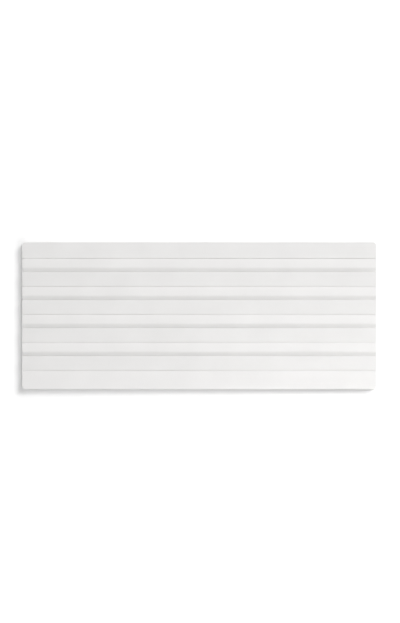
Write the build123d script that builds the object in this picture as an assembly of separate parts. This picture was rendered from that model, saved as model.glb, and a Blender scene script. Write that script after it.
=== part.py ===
from build123d import *
from math import atan2, cos, radians, sin, tan
import os

# Slat wall panel: one extruded board of white foamed PVC, lying on its back with its face up.
# X runs along the slats, Y up the board as it hangs on a wall, and Z out of its face.
# The origin is the centre of the flat back. All sizes are in millimetres.

# Plan of the board
panel_length = 963.0
corner_radius = 10.0

# Slats, measured down the face
slot_count = 4
slot_pitch = 76.2
slat_flat = 39.4
top_flat = 43.5
bottom_band = 51.7

# Depths of the section, from the back to the lips
back_wall = 8.6
channel_depth = 5.4
lip_root = 5.0

# Face of each slat: a flat that falls back from the lip to a fine step, then a crowned band that rises
flat_fall = 1.7
step_depth = 2.0
band_rise = 2.0
crown_height = 0.12

# Ramp that takes each slat back behind the lip of the next, and the hook channel at its foot
ramp_angle = 25.0
lip_tip = 2.0
channel_mouth = 4.2
channel_run = 8.0

# Rounding left by the extrusion die
nose_radius = 16.0
foot_radius = 3.0
channel_radius = 0.8
lip_radius = 0.4
step_radius = 0.3
board_edge_radius = 0.8
back_edge_radius = 0.8

# Shares that keep a rounding inside the wall that it runs out on
crown_share = 0.9
nose_share = 0.6
edge_share = 0.45

# Levels of the section above the back
channel_floor = back_wall
lip_underside = channel_floor + channel_depth
lip_level = lip_underside + lip_root
tip_level = lip_level - lip_tip
step_top_level = lip_level - flat_fall
step_level = step_top_level - step_depth
nose_level = step_level + band_rise

# Heights of the slats, and the ramp worked out so that its mouth is measured square to it
slat_step = slot_pitch - slat_flat
panel_height = top_flat + slat_step + (slot_count - 1) * slot_pitch + slat_flat + bottom_band
ramp_slope = tan(radians(ramp_angle))
mouth_level = tip_level - channel_mouth / cos(radians(ramp_angle))
nose_above_lip = (nose_level - mouth_level) / ramp_slope
foot_below_lip = (mouth_level - channel_floor) / ramp_slope

# Roundings limited by their walls, and the length of band that the rolled nose takes up
slat_band = slat_step - nose_above_lip
ramp_length = (nose_level - channel_floor) / sin(radians(ramp_angle))
nose_turn = radians(ramp_angle) + atan2(band_rise, slat_band)
nose_reach = min(nose_radius * tan(nose_turn / 2), nose_share * slat_band, nose_share * ramp_length)
slat_nose_radius = nose_reach / tan(nose_turn / 2)
step_edge_radius = min(step_radius, edge_share * step_depth)
lip_edge_radius = min(lip_radius, edge_share * lip_tip)


def band_corners(step_y, end_y, end_reach):
    """Corners of a stepped band, from the slat's flat at step_y down towards its end at end_y.

    The band drops by the step, then rises to its end in two runs that meet at a shallow ridge.
    The ridge is rounded along nearly the whole of the first run, which leaves the band evenly crowned.
    The rounding of the band's end takes up the last stretch of the second run, end_reach long.
    """
    ridge_run = (step_y - end_y - end_reach) / 2
    end_run = step_y - end_y - ridge_run
    chord_rise = band_rise * ridge_run / (ridge_run + end_run)
    ridge_level = step_level + chord_rise + 2 * crown_height
    turn = atan2(ridge_level - step_level, ridge_run) - atan2(nose_level - ridge_level, end_run)
    crown_radius = crown_share * ridge_run / tan(turn / 2)
    return [
        (step_y, step_top_level, step_edge_radius),
        (step_y, step_level, step_edge_radius),
        (step_y - ridge_run, ridge_level, crown_radius),
    ]


def channel_corners(lip_y):
    """Corners of one hook channel, from the rolled nose above it down the ramp and round to the lip."""
    foot_y = lip_y - foot_below_lip
    end_y = foot_y - channel_run
    return [
        (lip_y + nose_above_lip, nose_level, slat_nose_radius),
        (foot_y, channel_floor, foot_radius),
        (end_y, channel_floor, channel_radius),
        (end_y, lip_underside, channel_radius),
        (lip_y, tip_level, lip_edge_radius),
        (lip_y, lip_level, lip_edge_radius),
    ]


def section_corners():
    """Corners of the whole section as (y, z, radius), down the face and back up the flat back."""
    top_y = panel_height / 2
    corners = [(top_y, 0, back_edge_radius), (top_y, lip_level, board_edge_radius)]
    step_y = top_y - top_flat
    for _ in range(slot_count):
        lip_y = step_y - slat_step
        corners += band_corners(step_y, lip_y + nose_above_lip, nose_reach)
        corners += channel_corners(lip_y)
        step_y = lip_y - slat_flat
    corners += band_corners(step_y, -top_y, board_edge_radius)
    corners += [(-top_y, nose_level, board_edge_radius), (-top_y, 0, back_edge_radius)]
    return corners


def slat_panel():
    """The section carried along the slats, with the four corners of the board rounded in plan."""
    corners = section_corners()
    points = [(y, z) for y, z, _ in corners]
    radii = [radius for _, _, radius in corners]
    section = make_face(Plane.YZ * FilletPolyline(*points, radius=radii, close=True))
    board = extrude(section, amount=panel_length / 2, both=True)
    plan = RectangleRounded(panel_length, panel_height, corner_radius)
    return board & extrude(plan, amount=lip_level)


os.makedirs("parts", exist_ok=True)
export_step(slat_panel(), "parts/slat_panel.step")
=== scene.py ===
"""A slat wall panel, dressed and lit: one extruded board of white foamed PVC, face up on a pale floor.

X runs along the slats, Y up the board as it hangs on a wall and Z out of its face, with the origin at the
centre of its flat back. Lengths are in metres: a size that is known in millimetres is written times MM.
"""

import logging
import math
from collections.abc import Sequence
from dataclasses import dataclass, field
from enum import IntEnum
from typing import Any

import bpy
import numpy as np
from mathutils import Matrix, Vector

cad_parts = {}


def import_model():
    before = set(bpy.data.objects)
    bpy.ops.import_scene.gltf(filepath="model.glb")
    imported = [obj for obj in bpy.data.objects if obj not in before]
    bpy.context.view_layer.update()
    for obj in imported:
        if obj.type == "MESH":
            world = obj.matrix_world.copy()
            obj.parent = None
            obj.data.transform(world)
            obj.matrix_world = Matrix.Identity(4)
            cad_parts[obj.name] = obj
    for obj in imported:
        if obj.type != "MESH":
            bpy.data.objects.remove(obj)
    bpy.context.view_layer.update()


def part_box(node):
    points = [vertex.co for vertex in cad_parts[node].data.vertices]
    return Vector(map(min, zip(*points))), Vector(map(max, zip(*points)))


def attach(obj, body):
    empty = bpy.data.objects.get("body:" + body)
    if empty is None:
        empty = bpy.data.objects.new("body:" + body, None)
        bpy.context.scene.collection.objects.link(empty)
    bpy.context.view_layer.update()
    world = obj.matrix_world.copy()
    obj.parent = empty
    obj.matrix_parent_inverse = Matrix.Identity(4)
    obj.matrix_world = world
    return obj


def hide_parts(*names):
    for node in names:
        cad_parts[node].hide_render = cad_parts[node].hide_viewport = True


MM = 0.001
IMAGE_WIDTH_PX = 400
IMAGE_HEIGHT_PX = 623
CAD_NODE = "slat_panel"
WHITE = "#FFFFFF"
LOG = logging.getLogger("slat_board")


class Skin(IntEnum):
    """Which finish a face of the board wears, as its place among the mesh's materials."""

    FACE = 0
    BACK = 1
    SAWN_END = 2


def linear(hex_code: str) -> tuple[float, float, float, float]:
    """Turns an sRGB hex colour to linear light, by the curve of the sRGB standard.

    Args:
        hex_code: Six hex digits after a hash sign.

    Returns:
        Red, green, blue and an alpha of 1.
    """
    parts = np.array([int(hex_code[place:place + 2], 16) for place in (1, 3, 5)]) / 255
    light = np.where(parts <= 0.04045, parts / 12.92, ((parts + 0.055) / 1.055) ** 2.4)
    return (*light.tolist(), 1.0)


def new_material(name: str) -> tuple[bpy.types.Material, bpy.types.NodeTree, bpy.types.Node]:
    """Starts a material with one Principled shader.

    Args:
        name: The material's name.

    Returns:
        The material, its node tree and the shader.
    """
    material = bpy.data.materials.new(name)
    material.use_nodes = True
    return material, material.node_tree, material.node_tree.nodes["Principled BSDF"]


def add_node(
    tree: bpy.types.NodeTree,
    kind: str,
    settings: dict[str, Any] | None = None,
    values: dict[str | int, Any] | None = None,
    links: dict[str | int, bpy.types.NodeSocket] | None = None,
) -> bpy.types.Node:
    """Adds a shader node with its settings, the values on its sockets and the links into them.

    Args:
        tree: The node tree that the node goes into.
        kind: The node's class name.
        settings: Properties of the node itself.
        values: Values set on input sockets, by name or place.
        links: Output sockets that feed input sockets, by name or place.

    Returns:
        The new node.
    """
    node = tree.nodes.new(kind)
    for name, value in (settings or {}).items():
        setattr(node, name, value)
    for name, value in (values or {}).items():
        node.inputs[name].default_value = value
    for name, socket in (links or {}).items():
        tree.links.new(socket, node.inputs[name])
    return node


def seen_ray(tree: bpy.types.NodeTree) -> bpy.types.NodeSocket:
    """Gives 1 for rays that show a surface to the eye, straight, in a mirror or through glass.

    Args:
        tree: The node tree that the nodes go into.

    Returns:
        The greatest of Light Path's camera, glossy and transmission flags.
    """
    path = add_node(tree, "ShaderNodeLightPath").outputs
    mirrored = add_node(tree, "ShaderNodeMath", {"operation": "MAXIMUM"},
                        links={0: path["Is Camera Ray"], 1: path["Is Glossy Ray"]}).outputs["Value"]
    return add_node(tree, "ShaderNodeMath", {"operation": "MAXIMUM"},
                    links={0: mirrored, 1: path["Is Transmission Ray"]}).outputs["Value"]


@dataclass(frozen=True)
class ExtrudedSkin:
    """Rigid foamed PVC as it leaves the sizing die: a closed white skin with a satin sheen.

    The eye gets an even, slightly warm white whose sheen is a little patchy, with faint lines along the
    extrusion and a soft orange peel where the foam swelled under the skin.

    Attributes:
        name: The material's name.
        colour: The skin's common colour.
        shade: The colour of its slightly thinner, greyer patches.
        smooth: Roughness where the die polished the skin most.
        dull: Roughness where it polished the skin least.
        line_height: Height of the die's lines.
        peel_height: Height of the orange peel.
        line_pitch: Spacing of the die's lines. Real ones are about 0.3 mm apart, too fine to show here.
        line_length: Length over which a line fades in and out.
        line_share: Share of the lines in the mottle of the skin. The rest is patches.
        peel_size: Width of one dimple of the orange peel.
        patch_size: Width of a patch of sheen.
        noise_span: Values between which the mottle goes from its dullest to its smoothest.
        ior: Refractive index of PVC.
    """

    name: str
    colour: str
    shade: str
    smooth: float
    dull: float
    line_height: float
    peel_height: float
    line_pitch: float = 1.4 * MM
    line_length: float = 420.0 * MM
    line_share: float = 0.35
    peel_size: float = 3.2 * MM
    patch_size: float = 85.0 * MM
    noise_span: tuple[float, float] = (0.3, 0.7)
    ior: float = 1.53

    def material(self) -> bpy.types.Material:
        """Builds the material from its sizes, on Object coordinates.

        Returns:
            The finished material.
        """
        material, tree, shader = new_material(self.name)
        shader.inputs["IOR"].default_value = self.ior
        place = add_node(tree, "ShaderNodeTexCoord").outputs["Object"]
        drawn_out = (1 / self.line_length, 1 / self.line_pitch, 1 / self.line_pitch)
        drawn = add_node(tree, "ShaderNodeMapping", values={"Scale": drawn_out},
                         links={"Vector": place}).outputs["Vector"]
        lines = add_node(tree, "ShaderNodeTexNoise", values={"Scale": 1.0, "Detail": 3.0, "Roughness": 0.6},
                         links={"Vector": drawn}).outputs["Fac"]
        peel = add_node(tree, "ShaderNodeTexNoise", values={"Scale": 1 / self.peel_size, "Detail": 1.0},
                        links={"Vector": place}).outputs["Fac"]
        patches = add_node(tree, "ShaderNodeTexNoise", values={"Scale": 1 / self.patch_size, "Detail": 2.0},
                           links={"Vector": place}).outputs["Fac"]
        # Patches of sheen, broken up by the die's lines, tint the skin and dull it together
        mottle = add_node(tree, "ShaderNodeMix", {"data_type": "FLOAT"}, {"Factor": self.line_share},
                          {"A": patches, "B": lines}).outputs["Result"]
        low, high = self.noise_span
        tone = add_node(tree, "ShaderNodeMapRange", {"clamp": True}, {"From Min": low, "From Max": high},
                        {"Value": mottle}).outputs["Result"]
        tint = add_node(tree, "ShaderNodeMix", {"data_type": "RGBA"},
                        {"A": linear(self.shade), "B": linear(self.colour)},
                        {"Factor": tone}).outputs["Result"]
        rough = add_node(tree, "ShaderNodeMapRange", {"clamp": True},
                         {"From Min": low, "From Max": high, "To Min": self.dull, "To Max": self.smooth},
                         {"Value": mottle}).outputs["Result"]
        ribbed = add_node(tree, "ShaderNodeBump", values={"Distance": self.line_height},
                          links={"Height": lines}).outputs["Normal"]
        relief = add_node(tree, "ShaderNodeBump", values={"Distance": self.peel_height},
                          links={"Height": peel, "Normal": ribbed}).outputs["Normal"]
        tree.links.new(tint, shader.inputs["Base Color"])
        tree.links.new(rough, shader.inputs["Roughness"])
        tree.links.new(relief, shader.inputs["Normal"])
        return material


@dataclass(frozen=True)
class SawnFoam:
    """Foamed PVC cut across by a fine saw, so its cells are open.

    The eye gets a chalky, matt white, speckled with tiny pits whose hollows are painted a darker shade, and
    combed by the blade's teeth.

    Attributes:
        name: The material's name.
        colour: Colour of the cell walls.
        painted_pit_shade: Painted shade down in the open cells, a darker colour that stands in for the shade
            falling into them.
        rough: Roughness of the torn cell walls.
        cell_size: Width of a cell. Real ones are about 0.15 mm across, so these are drawn coarser to show.
        pit_depth: Depth of an open cell.
        pit_span: Distances from a cell's middle, in cells, between which its hollow rises to its wall.
        tooth_pitch: Spacing of the saw's marks.
        tooth_height: Height of the saw's marks.
        tooth_length: Length of a mark, through the board's thickness.
        ior: Refractive index of PVC.
    """

    name: str
    colour: str
    painted_pit_shade: str
    rough: float = 0.8
    cell_size: float = 0.7 * MM
    pit_depth: float = 0.08 * MM
    pit_span: tuple[float, float] = (0.05, 0.45)
    tooth_pitch: float = 1.6 * MM
    tooth_height: float = 0.03 * MM
    tooth_length: float = 30.0 * MM
    ior: float = 1.53

    def material(self) -> bpy.types.Material:
        """Builds the material from its sizes, on Object coordinates.

        Returns:
            The finished material.
        """
        material, tree, shader = new_material(self.name)
        shader.inputs["IOR"].default_value = self.ior
        shader.inputs["Roughness"].default_value = self.rough
        place = add_node(tree, "ShaderNodeTexCoord").outputs["Object"]
        cells = add_node(tree, "ShaderNodeTexVoronoi", values={"Scale": 1 / self.cell_size},
                         links={"Vector": place}).outputs["Distance"]
        combed = add_node(tree, "ShaderNodeMapping",
                          values={"Scale": (1.0, 1 / self.tooth_pitch, 1 / self.tooth_length)},
                          links={"Vector": place}).outputs["Vector"]
        teeth = add_node(tree, "ShaderNodeTexNoise", values={"Scale": 1.0, "Detail": 2.0},
                         links={"Vector": combed}).outputs["Fac"]
        floor, wall = self.pit_span
        opened = add_node(tree, "ShaderNodeMapRange", {"clamp": True},
                          {"From Min": floor, "From Max": wall}, {"Value": cells}).outputs["Result"]
        # Painted shade: the colour darkens from the cell walls down into the open cells, where shade would
        # fall
        tint = add_node(tree, "ShaderNodeMix", {"data_type": "RGBA"},
                        {"A": linear(self.painted_pit_shade), "B": linear(self.colour)},
                        {"Factor": opened}).outputs["Result"]
        scored = add_node(tree, "ShaderNodeBump", values={"Distance": self.tooth_height},
                          links={"Height": teeth}).outputs["Normal"]
        relief = add_node(tree, "ShaderNodeBump", values={"Distance": self.pit_depth},
                          links={"Height": opened, "Normal": scored}).outputs["Normal"]
        tree.links.new(tint, shader.inputs["Base Color"])
        tree.links.new(relief, shader.inputs["Normal"])
        return material


def rounded_outline(corners: np.ndarray, steps: int) -> tuple[np.ndarray, np.ndarray]:
    """Rounds every corner of a closed outline, and gives its points with their outward normals.

    A ball of the corner's radius lies against the two runs that meet there, inside a convex corner and
    outside a concave one. Its centre is the corner, less the radius times the sum of the two runs' normals
    over one plus their dot product. The arc is that centre plus the radius times a normal that turns evenly
    from the one run's to the other's.

    Args:
        corners: Rows of y, z and radius, anticlockwise with y to the right and z up.
        steps: Points on each arc.

    Returns:
        The points and the normals, as rows of y and z.
    """
    points, radii = corners[:, :2], corners[:, 2]
    runs = np.roll(points, -1, axis=0) - points
    ahead = np.column_stack([runs[:, 1], -runs[:, 0]])
    ahead /= np.linalg.norm(ahead, axis=1, keepdims=True)
    behind = np.roll(ahead, 1, axis=0)
    along = (behind * ahead).sum(axis=1)
    turn = np.arctan2(behind[:, 0] * ahead[:, 1] - behind[:, 1] * ahead[:, 0], along)
    swing = np.sign(turn) * radii
    centres = points - swing[:, None] * (behind + ahead) / (1 + along)[:, None]
    start = np.arctan2(behind[:, 1], behind[:, 0])
    angles = start[:, None] + turn[:, None] * np.linspace(0, 1, steps)
    normals = np.stack([np.cos(angles), np.sin(angles)], axis=-1)
    outline = centres[:, None] + swing[:, None, None] * normals
    return outline.reshape(-1, 2), normals.reshape(-1, 2)


def cut_at_levels(
    points: np.ndarray, normals: np.ndarray, levels: np.ndarray, least: float = 0.001 * MM
) -> tuple[np.ndarray, np.ndarray]:
    """Adds a point wherever a run of a closed outline crosses one of some levels of y.

    A crossing is the run's start plus the share of the run at which it reaches the level, and its normal is
    mixed from the run's ends by the same share.

    Args:
        points: The outline's points, as rows of y and z.
        normals: Their normals.
        levels: The levels of y.
        least: How far a crossing has to be from the ends of its run.

    Returns:
        The points and the normals with the crossings in their places.
    """
    ends, end_normals = np.roll(points, -1, axis=0), np.roll(normals, -1, axis=0)
    before, after = levels - points[:, :1], ends[:, :1] - levels
    crossed = (np.minimum(np.abs(before), np.abs(after)) > least) & (before * after > 0)
    run, level = np.nonzero(crossed)
    share = (before[run, level] / (before + after)[run, level])[:, None]
    order = np.argsort(np.concatenate([np.arange(len(points)), run + share[:, 0]]))
    new_points = points[run] + share * (ends[run] - points[run])
    new_normals = normals[run] + share * (end_normals[run] - normals[run])
    new_normals /= np.linalg.norm(new_normals, axis=1, keepdims=True)
    return np.concatenate([points, new_points])[order], np.concatenate([normals, new_normals])[order]


@dataclass(frozen=True)
class SlatSection:
    """Section of the board across its slats: flats, steps, bands, ramps and the channels behind the lips.

    Attributes:
        slot_count: Number of hook channels.
        slot_pitch: Distance from one lip to the next.
        slat_flat: Height of the flat from a lip down to its step.
        top_flat: Height of the topmost flat.
        bottom_band: Height of the lowest band.
        back_wall: Thickness behind the channels.
        channel_depth: Depth of a channel at its foot.
        lip_root: Depth from a lip's level to the underside of its root.
        flat_fall: How far a flat falls back from its lip to its step.
        step_depth: Depth of the fine step.
        band_rise: How far a band rises from its step to its nose.
        crown_height: How far a band bulges above a straight line.
        ramp_angle: Angle of the ramp behind a lip, in degrees.
        lip_tip: Thickness of a lip at its tip.
        channel_mouth: Clear width between a lip's tip and the ramp.
        channel_run: Length of a channel's flat floor.
        nose_radius: Radius of the rolled nose at the top of a ramp.
        foot_radius: Radius where a ramp runs into its channel's floor.
        channel_radius: Radius of a channel's two inner corners.
        lip_radius: Radius of a lip's edges.
        step_radius: Radius of a step's edges.
        edge_radius: Radius of the board's four long edges.
        crown_share: Share of a band's run that its crown is rounded over.
        arc_steps: Points on each rounded corner.
    """

    slot_count: int = 4
    slot_pitch: float = 76.2 * MM
    slat_flat: float = 39.4 * MM
    top_flat: float = 43.5 * MM
    bottom_band: float = 51.7 * MM
    back_wall: float = 8.6 * MM
    channel_depth: float = 5.4 * MM
    lip_root: float = 5.0 * MM
    flat_fall: float = 1.7 * MM
    step_depth: float = 2.0 * MM
    band_rise: float = 2.0 * MM
    crown_height: float = 0.12 * MM
    ramp_angle: float = 25.0
    lip_tip: float = 2.0 * MM
    channel_mouth: float = 4.2 * MM
    channel_run: float = 8.0 * MM
    nose_radius: float = 16.0 * MM
    foot_radius: float = 3.0 * MM
    channel_radius: float = 0.8 * MM
    lip_radius: float = 0.4 * MM
    step_radius: float = 0.3 * MM
    edge_radius: float = 0.8 * MM
    crown_share: float = 0.9
    arc_steps: int = 10

    @property
    def lip_level(self) -> float:
        """Level of the lips above the back."""
        return self.back_wall + self.channel_depth + self.lip_root

    @property
    def nose_level(self) -> float:
        """Level above the back to which the bands rise."""
        return self.lip_level - self.flat_fall - self.step_depth + self.band_rise

    def band(self, width: float, end_reach: float, clear: float) -> np.ndarray:
        """Corners of a step and of the ridge of the band below it, with y measured from the step.

        The band rises in two runs that meet at a shallow ridge, twice the crown's height above a straight
        line, and the ridge is rounded over most of both runs.

        Args:
            width: Height of the band, from its step to its end.
            end_reach: Length of the band that the rounding of its end takes up.
            clear: Length at the band's end that the crown's rounding keeps out of.

        Returns:
            Rows of y, z and radius.
        """
        step_top = self.lip_level - self.flat_fall
        low = step_top - self.step_depth
        run = (width - end_reach) / 2
        ridge = low + self.band_rise * run / width + 2 * self.crown_height
        turn = math.atan2(ridge - low, run) - math.atan2(self.nose_level - ridge, width - run)
        reach = min(self.crown_share * run, width - run - clear)
        return np.array([
            (0.0, step_top, self.step_radius),
            (0.0, low, self.step_radius),
            (-run, ridge, reach / math.tan(turn / 2)),
        ])

    def slat(self) -> np.ndarray:
        """Corners of one slat, from its step down to the lip of the next, with y measured from the step.

        The ramp lies so that its mouth, measured square to it, is clear of the lip's tip. The nose is where
        it meets the band's end, and the foot is where it meets the channel's floor.

        Returns:
            Rows of y, z and radius.
        """
        ramp = math.radians(self.ramp_angle)
        under = self.back_wall + self.channel_depth
        tip = self.lip_level - self.lip_tip
        mouth = tip - self.channel_mouth / math.cos(ramp)
        lip_y = self.slat_flat - self.slot_pitch
        nose_y = lip_y + (self.nose_level - mouth) / math.tan(ramp)
        foot_y = lip_y - (mouth - self.back_wall) / math.tan(ramp)
        end_y = foot_y - self.channel_run
        nose_turn = ramp + math.atan2(self.band_rise, -nose_y)
        nose_reach = self.nose_radius * math.tan(nose_turn / 2)
        channel = [
            (nose_y, self.nose_level, self.nose_radius),
            (foot_y, self.back_wall, self.foot_radius),
            (end_y, self.back_wall, self.channel_radius),
            (end_y, under, self.channel_radius),
            (lip_y, tip, self.lip_radius),
            (lip_y, self.lip_level, self.lip_radius),
        ]
        return np.concatenate([self.band(-nose_y, nose_reach, 0.0), channel])

    def corners(self, height: float, clear: float) -> np.ndarray:
        """Corners of the whole section, down the face and back along the flat back.

        One slat's corners are worked out from its step, and repeated at the pitch.

        Args:
            height: Height of the board.
            clear: Length at the board's lower edge that the lowest crown's rounding keeps out of.

        Returns:
            Rows of y, z and radius.
        """
        top = height / 2
        steps_y = top - self.top_flat - self.slot_pitch * np.arange(self.slot_count + 1)
        slats = np.tile(self.slat(), (self.slot_count, 1, 1))
        slats[:, :, 0] += steps_y[:-1, None]
        lowest = self.band(self.bottom_band, self.edge_radius, clear)
        lowest[:, 0] += steps_y[-1]
        head = [(top, 0.0, self.edge_radius), (top, self.lip_level, self.edge_radius)]
        tail = [(-top, self.nose_level, self.edge_radius), (-top, 0.0, self.edge_radius)]
        return np.concatenate([head, slats.reshape(-1, 3), lowest, tail])


@dataclass(frozen=True)
class SurfaceGrid:
    """A closed surface ready for a mesh.

    Attributes:
        points: The vertices.
        normals: The true normal at each vertex.
        faces: The faces, as lists of vertex places.
        skins: The finish that each face wears.
    """

    points: np.ndarray
    normals: np.ndarray
    faces: list[list[int]]
    skins: np.ndarray


@dataclass
class SlatBoard:
    """The board: its section carried along the slats, with rounded plan corners and eased saw cuts.

    Attributes:
        length: Length of the board along its slats.
        height: Height of the board across its slats.
        section: The section's sizes.
        plan_radius: Radius of the board's corners, seen from the front.
        arris: Radius to which the sharp edge of the saw cut is eased.
        corner_clear: Straight stretch that the section keeps before a plan corner starts.
        corner_steps: Points along a plan corner, short of the board's rounded long edge.
        corner_sweep: Angle of the plan corner that those points cover, in degrees.
        arris_steps: Points round the eased edge.
        spans: Lengths that the board is divided into.
        finishes: The finish of each skin.
    """

    length: float
    height: float
    section: SlatSection = field(default_factory=SlatSection)
    plan_radius: float = 10.0 * MM
    arris: float = 0.25 * MM
    corner_clear: float = 1.0 * MM
    corner_steps: int = 9
    corner_sweep: float = 64.0
    arris_steps: int = 5
    spans: int = 24
    finishes: dict[Skin, ExtrudedSkin | SawnFoam] = field(default_factory=lambda: {
        Skin.FACE: ExtrudedSkin(
            "foamed_pvc_face", colour="#E9E8E7", shade="#E5E4E3", smooth=0.66, dull=0.76,
            line_height=0.018 * MM, peel_height=0.026 * MM,
        ),
        Skin.BACK: ExtrudedSkin(
            "foamed_pvc_back", colour="#E4E3E1", shade="#DDDCDA", smooth=0.68, dull=0.78,
            line_height=0.020 * MM, peel_height=0.020 * MM,
        ),
        # The sawn end's open cells are painted a darker shade
        Skin.SAWN_END: SawnFoam("foamed_pvc_sawn_end", colour="#ECEBE9", painted_pit_shade="#D6D4D0"),
    })

    def outline(self) -> tuple[np.ndarray, np.ndarray]:
        """The rounded section, with points for the plan corners, starting where the upper ones begin.

        Returns:
            The points and the normals, as rows of y and z.
        """
        corners = self.section.corners(self.height, self.plan_radius + self.corner_clear)
        points, normals = rounded_outline(corners, self.section.arc_steps)
        sweep = np.radians(np.linspace(0, self.corner_sweep, self.corner_steps))
        levels = self.height / 2 - self.plan_radius * (1 - np.sin(sweep))
        points, normals = cut_at_levels(points, normals, np.concatenate([levels, -levels]))
        inside = points[:, 0] > levels[0] - self.arris
        start = int(np.flatnonzero(inside & ~np.roll(inside, 1))[0])
        return np.roll(points, -start, axis=0), np.roll(normals, -start, axis=0)

    def end_rings(self, outline: np.ndarray, outline_normals: np.ndarray) -> tuple[np.ndarray, np.ndarray]:
        """Rings of points that ease the +X end, from the full section to the saw cut.

        A point's end is the half length, less what the plan corner takes off: R minus the root of R squared
        less the square of how far the point is into the corner. At an angle w of the eased quarter turn the
        section is set in by the arris radius times one minus cos w, the end is set back by that radius times
        one minus sin w, and the normal is cos w of the section's with sin w of the plan's.

        Args:
            outline: The section's points, as rows of y and z.
            outline_normals: Their normals.

        Returns:
            The points and the normals, one row of each for a ring.
        """
        angle = np.linspace(0, math.pi / 2, self.arris_steps)[:, None]
        inset = outline - self.arris * (1 - np.cos(angle))[..., None] * outline_normals
        into = (np.abs(inset[..., 0]) - self.height / 2 + self.plan_radius) / self.plan_radius
        sine = np.clip(into, 0, 1) * np.sign(inset[..., 0])
        cosine = np.sqrt(1 - sine ** 2)
        ends = self.length / 2 - self.plan_radius * (1 - cosine) - self.arris * (1 - np.sin(angle))
        points = np.concatenate([ends[..., None], inset], axis=2)
        side = np.column_stack([np.zeros(len(outline)), outline_normals])
        plan = np.stack([cosine, sine, np.zeros_like(sine)], axis=2)
        normals = np.cos(angle)[..., None] * side + np.sin(angle)[..., None] * plan
        return points, normals / np.linalg.norm(normals, axis=2, keepdims=True)

    def surface(self) -> SurfaceGrid:
        """The board's whole surface.

        Between the ends a point is a share of the half length at its height, and the -X end mirrors the +X
        end. Each end is closed by a strip across each plan corner and one flat face between them.

        Returns:
            The surface's points, normals, faces and skins.
        """
        outline, outline_normals = self.outline()
        ring_points, ring_normals = self.end_rings(outline, outline_normals)
        shares = np.linspace(-1, 1, self.spans + 1)[1:-1, None, None]
        whole = np.ones_like(shares)
        body = ring_points[0] * np.concatenate([shares, whole, whole], axis=2)
        body_normals = np.tile(ring_normals[0], (len(body), 1, 1))
        mirror = np.array([-1.0, 1.0, 1.0])
        points = np.concatenate([ring_points[::-1] * mirror, body, ring_points])
        normals = np.concatenate([ring_normals[::-1] * mirror, body_normals, ring_normals])
        rows, count = points.shape[:2]
        place = np.arange(rows * count).reshape(rows, count)
        ahead = np.roll(place, -1, axis=1)
        walls = np.stack([place[:-1], ahead[:-1], ahead[1:], place[1:]], axis=-1).reshape(-1, 4)
        behind = (outline[:, 1] + np.roll(outline[:, 1], -1)) < self.section.edge_radius / 2
        wall_skins = np.tile(np.where(behind, Skin.BACK, Skin.FACE), rows - 1)
        near, far = self.end_faces(outline[:, 0], place[0]), self.end_faces(outline[:, 0], place[-1])
        faces = walls.tolist() + [face[::-1] for face in near] + far
        skins = np.concatenate([wall_skins, np.full(len(near) + len(far), Skin.SAWN_END)])
        return SurfaceGrid(points.reshape(-1, 3), normals.reshape(-1, 3), faces, skins)

    def end_faces(self, levels: np.ndarray, ring: np.ndarray) -> list[list[int]]:
        """Faces that close one end, turned to face along +X.

        A plan corner's run of the ring goes from the back up to the face, so its first point pairs with its
        last, its second with its last but one, and each two pairs bound a four-sided face. What is left of
        the ring bounds the flat face between the corners.

        Args:
            levels: Height y of each point of the ring.
            ring: Vertex places of the ring, anticlockwise seen from +X.

        Returns:
            Lists of vertex places.
        """
        inner = self.height / 2 - self.plan_radius
        upper = ring[levels > inner - self.arris]
        lower = ring[levels < self.arris - inner]
        middle = ring[np.abs(levels) < inner - self.arris]
        strips = [np.column_stack([run[:-1], run[1:], run[::-1][1:], run[::-1][:-1]])[:len(run) // 2 - 1]
                  for run in (upper, lower)]
        flat = np.concatenate([upper[-1:], middle, lower[:1], lower[-1:], upper[:1]])
        return [*strips[0].tolist(), *strips[1].tolist(), flat.tolist()]

    def build(self) -> bpy.types.Object:
        """Makes the board's object, dressed and standing for its CAD node.

        Returns:
            The object, at the origin with its place in its mesh.
        """
        surface = self.surface()
        mesh = bpy.data.meshes.new("slat_board")
        mesh.from_pydata(surface.points.tolist(), [], surface.faces)
        mesh.polygons.foreach_set("material_index", surface.skins.astype(np.int32))
        mesh.polygons.foreach_set("use_smooth", np.ones(len(surface.faces), dtype=bool))
        mesh.normals_split_custom_set_from_vertices(surface.normals.tolist())
        for skin in Skin:
            mesh.materials.append(self.finishes[skin].material())
        board = bpy.data.objects.new("slat_board", mesh)
        bpy.context.scene.collection.objects.link(board)
        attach(board, "root")
        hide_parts(CAD_NODE)
        return board


@dataclass(frozen=True)
class Softbox:
    """A square studio lamp with an even front.

    Attributes:
        name: The lamp's name.
        position: Middle of its front.
        target: Point that it faces.
        size: Length of its sides.
        power: Power in watts.
        beam: Angle that a grid on its front leaves its light, in degrees. Without a grid it is 180.
    """

    name: str
    position: tuple[float, float, float]
    target: tuple[float, float, float]
    size: float
    power: float
    beam: float = 180.0

    def build(self) -> bpy.types.Object:
        """Makes the lamp and turns it to its target.

        Returns:
            The lamp's object, which the camera doesn't see.
        """
        lamp = bpy.data.lights.new(self.name, "AREA")
        lamp.shape = "SQUARE"
        lamp.size = self.size
        lamp.energy = self.power
        lamp.spread = math.radians(self.beam)
        softbox = bpy.data.objects.new(self.name, lamp)
        softbox.location = self.position
        facing = Vector(self.target) - Vector(self.position)
        softbox.rotation_euler = facing.to_track_quat("-Z", "Y").to_euler()
        softbox.visible_camera = False
        bpy.context.scene.collection.objects.link(softbox)
        return softbox


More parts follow.
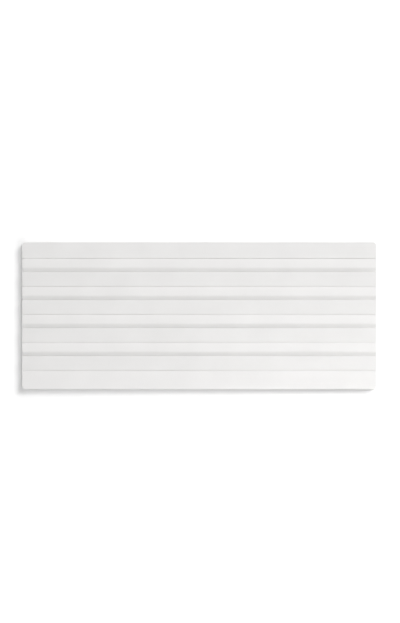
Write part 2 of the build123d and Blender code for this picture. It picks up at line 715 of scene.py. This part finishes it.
@dataclass(frozen=True)
class Studio:
    """The pale floor, the soft lamps, the sky and the camera.

    Attributes:
        board: Length, height and thickness of the board that lies on the floor.
        lamps: The soft boxes.
        sky_light: Strength of the even light from all round.
        floor_size: Length of the floor's sides.
        floor_gap: How far the floor lies below the board's back, so that the two faces don't coincide.
        floor_colour: The floor's own colour.
        painted_light: Strengths of a painted white that only the eye sees on the floor, from beside the
            board outwards. Near the board it lightens the board's shadow; farther out it makes the floor
            white.
        painted_light_at: Distances from the board's outline at which the floor shows those strengths.
        board_centre_px: Where the middle of the board lies in the picture, from its upper left corner.
        size_of_px: Real size of one pixel at the board's face.
        lens: Focal length of the camera, in millimetres.
        sensor: Width of its sensor, in millimetres.
    """

    board: tuple[float, float, float]
    lamps: tuple[Softbox, ...] = (
        Softbox("key_softbox", (9.36, 7.97, 9.6), target=(0.0, 0.0, 0.0), size=7.2, power=1610.0),
        Softbox("overhead_softbox", (0.0, 0.0, 4.0), target=(0.0, 0.0, 0.0), size=3.0, power=86.0),
        Softbox("front_fill_softbox", (0.57, -0.73, 2.85), target=(0.33, -0.36, 0.0), size=1.9, power=13.0),
        Softbox("corner_glow_softbox", (1.9, 0.4, 1.2), target=(0.45, -0.5, 0.0), size=0.4, power=0.6,
                beam=40.0),
    )
    sky_light: float = 0.01
    floor_size: float = 24.0
    floor_gap: float = 0.2 * MM
    floor_colour: str = "#F6F6F6"
    painted_light: tuple[float, float, float] = (0.048, 0.207, 1.0)
    painted_light_at: tuple[float, float, float] = (12.0 * MM, 34.0 * MM, 2.4)
    board_centre_px: tuple[float, float] = (199.16, 315.93)
    size_of_px: float = 2.7185 * MM
    lens: float = 100.0
    sensor: float = 36.0

    def painted_floor_light(self, tree: bpy.types.NodeTree) -> bpy.types.NodeSocket:
        """Adds painted light, a white that only the eye sees on the floor, which grows with the distance
        from the board.

        The distance is the length of what is left of a point's coordinates, taken without their signs, once
        the board's half length and half height are taken off them and what is below nought is dropped. Near
        the board this painted white lightens the outer part of the board's shadow; farther out it turns the
        floor white.

        Args:
            tree: The floor material's node tree.

        Returns:
            The strength of the painted white, for rays that show the floor to the eye.
        """
        length, height, _ = self.board
        beside, near, far = self.painted_light_at
        beside_lift, near_lift, far_lift = self.painted_light
        place = add_node(tree, "ShaderNodeTexCoord").outputs["Object"]
        unsigned = add_node(tree, "ShaderNodeVectorMath", {"operation": "ABSOLUTE"},
                            links={0: place}).outputs["Vector"]
        beyond = add_node(tree, "ShaderNodeVectorMath", {"operation": "SUBTRACT"},
                          {1: (length / 2, height / 2, 0.0)}, {0: unsigned}).outputs["Vector"]
        outside = add_node(tree, "ShaderNodeVectorMath", {"operation": "MAXIMUM"},
                           {1: (0.0, 0.0, 0.0)}, {0: beyond}).outputs["Vector"]
        away = add_node(tree, "ShaderNodeVectorMath", {"operation": "LENGTH"},
                        links={0: outside}).outputs["Value"]
        # Painted light: faint beside the board, where it lightens the shadow, and growing outwards to full
        # white
        first = add_node(tree, "ShaderNodeMapRange", values={
            "From Min": beside, "From Max": near, "To Min": beside_lift, "To Max": near_lift,
        }, links={"Value": away}).outputs["Result"]
        rest = add_node(tree, "ShaderNodeMapRange", values={
            "From Min": near, "From Max": far, "To Max": far_lift - near_lift,
        }, links={"Value": away}).outputs["Result"]
        both = add_node(tree, "ShaderNodeMath", {"operation": "ADD"},
                        links={0: first, 1: rest}).outputs["Value"]
        return add_node(tree, "ShaderNodeMath", {"operation": "MULTIPLY"},
                        links={0: both, 1: seen_ray(tree)}).outputs["Value"]

    def build_floor(self) -> bpy.types.Object:
        """Makes the floor, which keeps the board's shadow, lightened near the board by painted light, and
        runs out into white.

        Returns:
            The floor's object.
        """
        half = self.floor_size / 2
        mesh = bpy.data.meshes.new("floor")
        corners = np.array([(-1, -1, 0), (1, -1, 0), (1, 1, 0), (-1, 1, 0)]) * half
        corners[:, 2] = -self.floor_gap
        mesh.from_pydata(corners.tolist(), [], [(0, 1, 2, 3)])
        material, tree, shader = new_material("matt_white_sweep")
        shader.inputs["Base Color"].default_value = linear(self.floor_colour)
        shader.inputs["Roughness"].default_value = 1.0
        shader.inputs["Specular IOR Level"].default_value = 0.0
        shader.inputs["Emission Color"].default_value = linear(WHITE)
        # Painted light: white emission that only the eye sees, lightening the board's shadow and whitening
        # the floor farther out
        tree.links.new(self.painted_floor_light(tree), shader.inputs["Emission Strength"])
        mesh.materials.append(material)
        floor = bpy.data.objects.new("floor", mesh)
        bpy.context.scene.collection.objects.link(floor)
        return floor

    def build_sky(self) -> bpy.types.World:
        """Makes the even light from all round, which the eye sees as white.

        Returns:
            The world, set on the scene.
        """
        world = bpy.data.worlds.new("white_surround")
        bpy.context.scene.world = world
        world.use_nodes = True
        tree = world.node_tree
        sky = tree.nodes["Background"]
        sky.inputs["Color"].default_value = linear(WHITE)
        strength = add_node(tree, "ShaderNodeMapRange", values={"To Min": self.sky_light},
                            links={"Value": seen_ray(tree)}).outputs["Result"]
        tree.links.new(strength, sky.inputs["Strength"])
        return world

    def build_camera(self) -> bpy.types.Object:
        """Makes the camera, straight above the board with the board's top edge towards the picture's top.

        Its height above the board's face is the picture's real width there, times the lens over the sensor.

        Returns:
            The camera, set on the scene.
        """
        data = bpy.data.cameras.new("camera")
        data.sensor_fit = "HORIZONTAL"
        data.sensor_width = self.sensor
        data.lens = self.lens
        camera = bpy.data.objects.new("camera", data)
        across, down = self.board_centre_px
        camera.location = (
            (IMAGE_WIDTH_PX / 2 - across) * self.size_of_px,
            (down - IMAGE_HEIGHT_PX / 2) * self.size_of_px,
            self.board[2] + IMAGE_WIDTH_PX * self.size_of_px * self.lens / self.sensor,
        )
        bpy.context.scene.collection.objects.link(camera)
        bpy.context.scene.camera = camera
        return camera

    def build(self) -> None:
        """Sets up the floor, lamps, sky, camera and plain colour handling."""
        self.build_floor()
        for softbox in self.lamps:
            LOG.info("lamp %s", softbox.build().name)
        self.build_sky()
        self.build_camera()
        bpy.context.scene.view_settings.view_transform = "Standard"


def main() -> None:
    """Loads the frame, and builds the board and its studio."""
    logging.basicConfig(level=logging.INFO, format="%(name)s: %(message)s")
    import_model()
    lowest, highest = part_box(CAD_NODE)
    size = tuple(highest - lowest)
    board = SlatBoard(length=size[0], height=size[1]).build()
    LOG.info("piece %s: %d faces", board.name, len(board.data.polygons))
    Studio(board=size).build()
    bpy.context.view_layer.update()


if __name__ == "__main__":
    main()
